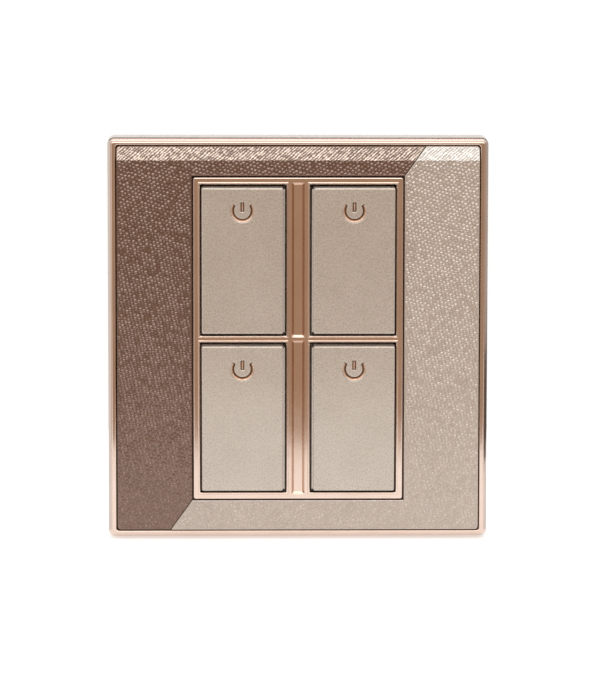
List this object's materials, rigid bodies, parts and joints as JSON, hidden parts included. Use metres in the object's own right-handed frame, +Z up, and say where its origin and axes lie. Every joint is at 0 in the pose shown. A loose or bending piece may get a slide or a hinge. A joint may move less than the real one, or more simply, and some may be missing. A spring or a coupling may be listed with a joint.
{
  "type": "light switch",
  "caption": "Wall light switch with a plated rim, two-tone grained panels and rockers in a plated grid, on a base plate and a terminal housing for a wall box.",
  "frame": {"origin": "centre of the two wall box screw slots, on the wall plane", "axes": "+Z up the wall, +Y into the wall, +X to the right as seen from the room"},
  "size_m": [0.086, 0.0295, 0.0912],
  "materials": {
    "rose_gold_plating": "rose-gold plating on moulded plastic",
    "brown_grain": "grained metallic brown film",
    "champagne_grain": "grained metallic champagne film",
    "champagne_matt": "matt metallic champagne paint",
    "white_plastic": "moulded, fine matt",
    "grey_plastic": "moulded dark grey, fine matt",
    "acetal": "moulded, smooth",
    "spring_steel": "drawn wire",
    "zinc_steel": "zinc plated",
    "copper": "stamped copper alloy",
    "brass": "stamped and drilled",
    "silver": "silver alloy"
  },
  "bodies": {
    "base": {"rim_frame": "rose_gold_plating", "centre_bezel": "rose_gold_plating", "brown_panel": "brown_grain", "champagne_panel": "champagne_grain", "front_carrier": "grey_plastic", "base_plate": "white_plastic", "rear_housing": "white_plastic", "terminal_screws": "zinc_steel", "housing_screws": "zinc_steel", "fixed_contact_upper_left": "silver", "common_terminal_upper_left": "brass", "output_terminal_upper_left": "brass", "fixed_contact_upper_right": "silver", "common_terminal_upper_right": "brass", "output_terminal_upper_right": "brass", "fixed_contact_lower_left": "silver", "common_terminal_lower_left": "brass", "output_terminal_lower_left": "brass", "fixed_contact_lower_right": "silver", "common_terminal_lower_right": "brass", "output_terminal_lower_right": "brass"},
    "rocker_upper_left": {"rocker_upper_left": "champagne_matt", "plunger_spring_upper_left": "spring_steel"},
    "plunger_upper_left": {"plunger_upper_left": "acetal"},
    "blade_upper_left": {"contact_blade_upper_left": "copper", "moving_contact_upper_left": "silver"},
    "rocker_upper_right": {"rocker_upper_right": "champagne_matt", "plunger_spring_upper_right": "spring_steel"},
    "plunger_upper_right": {"plunger_upper_right": "acetal"},
    "blade_upper_right": {"contact_blade_upper_right": "copper", "moving_contact_upper_right": "silver"},
    "rocker_lower_left": {"rocker_lower_left": "champagne_matt", "plunger_spring_lower_left": "spring_steel"},
    "plunger_lower_left": {"plunger_lower_left": "acetal"},
    "blade_lower_left": {"contact_blade_lower_left": "copper", "moving_contact_lower_left": "silver"},
    "rocker_lower_right": {"rocker_lower_right": "champagne_matt", "plunger_spring_lower_right": "spring_steel"},
    "plunger_lower_right": {"plunger_lower_right": "acetal"},
    "blade_lower_right": {"contact_blade_lower_right": "copper", "moving_contact_lower_right": "silver"}
  },
  "joints": [
    {"name": "rocker_hinge_upper_left", "type": "hinge", "parent": "base", "child": "rocker_upper_left", "pos_m": [-0.01255, -0.008, 0.01777], "axis": [-1, 0, 0], "range_deg": [0, 5]},
    {"name": "plunger_slide_upper_left", "type": "slide", "parent": "rocker_upper_left", "child": "plunger_upper_left", "axis": [0, -0.999, -0.0436], "range_m": [0, 0.00015], "stiffness_N_per_m": 600},
    {"name": "blade_hinge_upper_left", "type": "hinge", "parent": "base", "child": "blade_upper_left", "pos_m": [-0.01255, 0.0013, 0.01777], "axis": [-1, 0, 0], "range_deg": [-12, 0]},
    {"name": "rocker_hinge_upper_right", "type": "hinge", "parent": "base", "child": "rocker_upper_right", "pos_m": [0.01255, -0.008, 0.01777], "axis": [-1, 0, 0], "range_deg": [0, 5]},
    {"name": "plunger_slide_upper_right", "type": "slide", "parent": "rocker_upper_right", "child": "plunger_upper_right", "axis": [0, -0.999, -0.0436], "range_m": [0, 0.00015], "stiffness_N_per_m": 600},
    {"name": "blade_hinge_upper_right", "type": "hinge", "parent": "base", "child": "blade_upper_right", "pos_m": [0.01255, 0.0013, 0.01777], "axis": [-1, 0, 0], "range_deg": [-12, 0]},
    {"name": "rocker_hinge_lower_left", "type": "hinge", "parent": "base", "child": "rocker_lower_left", "pos_m": [-0.01255, -0.008, -0.01777], "axis": [-1, 0, 0], "range_deg": [0, 5]},
    {"name": "plunger_slide_lower_left", "type": "slide", "parent": "rocker_lower_left", "child": "plunger_lower_left", "axis": [0, -0.999, -0.0436], "range_m": [0, 0.00015], "stiffness_N_per_m": 600},
    {"name": "blade_hinge_lower_left", "type": "hinge", "parent": "base", "child": "blade_lower_left", "pos_m": [-0.01255, 0.0013, -0.01777], "axis": [-1, 0, 0], "range_deg": [-12, 0]},
    {"name": "rocker_hinge_lower_right", "type": "hinge", "parent": "base", "child": "rocker_lower_right", "pos_m": [0.01255, -0.008, -0.01777], "axis": [-1, 0, 0], "range_deg": [0, 5]},
    {"name": "plunger_slide_lower_right", "type": "slide", "parent": "rocker_lower_right", "child": "plunger_lower_right", "axis": [0, -0.999, -0.0436], "range_m": [0, 0.00015], "stiffness_N_per_m": 600},
    {"name": "blade_hinge_lower_right", "type": "hinge", "parent": "base", "child": "blade_lower_right", "pos_m": [0.01255, 0.0013, -0.01777], "axis": [-1, 0, 0], "range_deg": [-12, 0]}
  ],
  "couplings": [
    {"joint": "blade_hinge_upper_left", "follows": "rocker_hinge_upper_left", "ratio": -2.4},
    {"joint": "blade_hinge_upper_right", "follows": "rocker_hinge_upper_right", "ratio": -2.4},
    {"joint": "blade_hinge_lower_left", "follows": "rocker_hinge_lower_left", "ratio": -2.4},
    {"joint": "blade_hinge_lower_right", "follows": "rocker_hinge_lower_right", "ratio": -2.4}
  ]
}
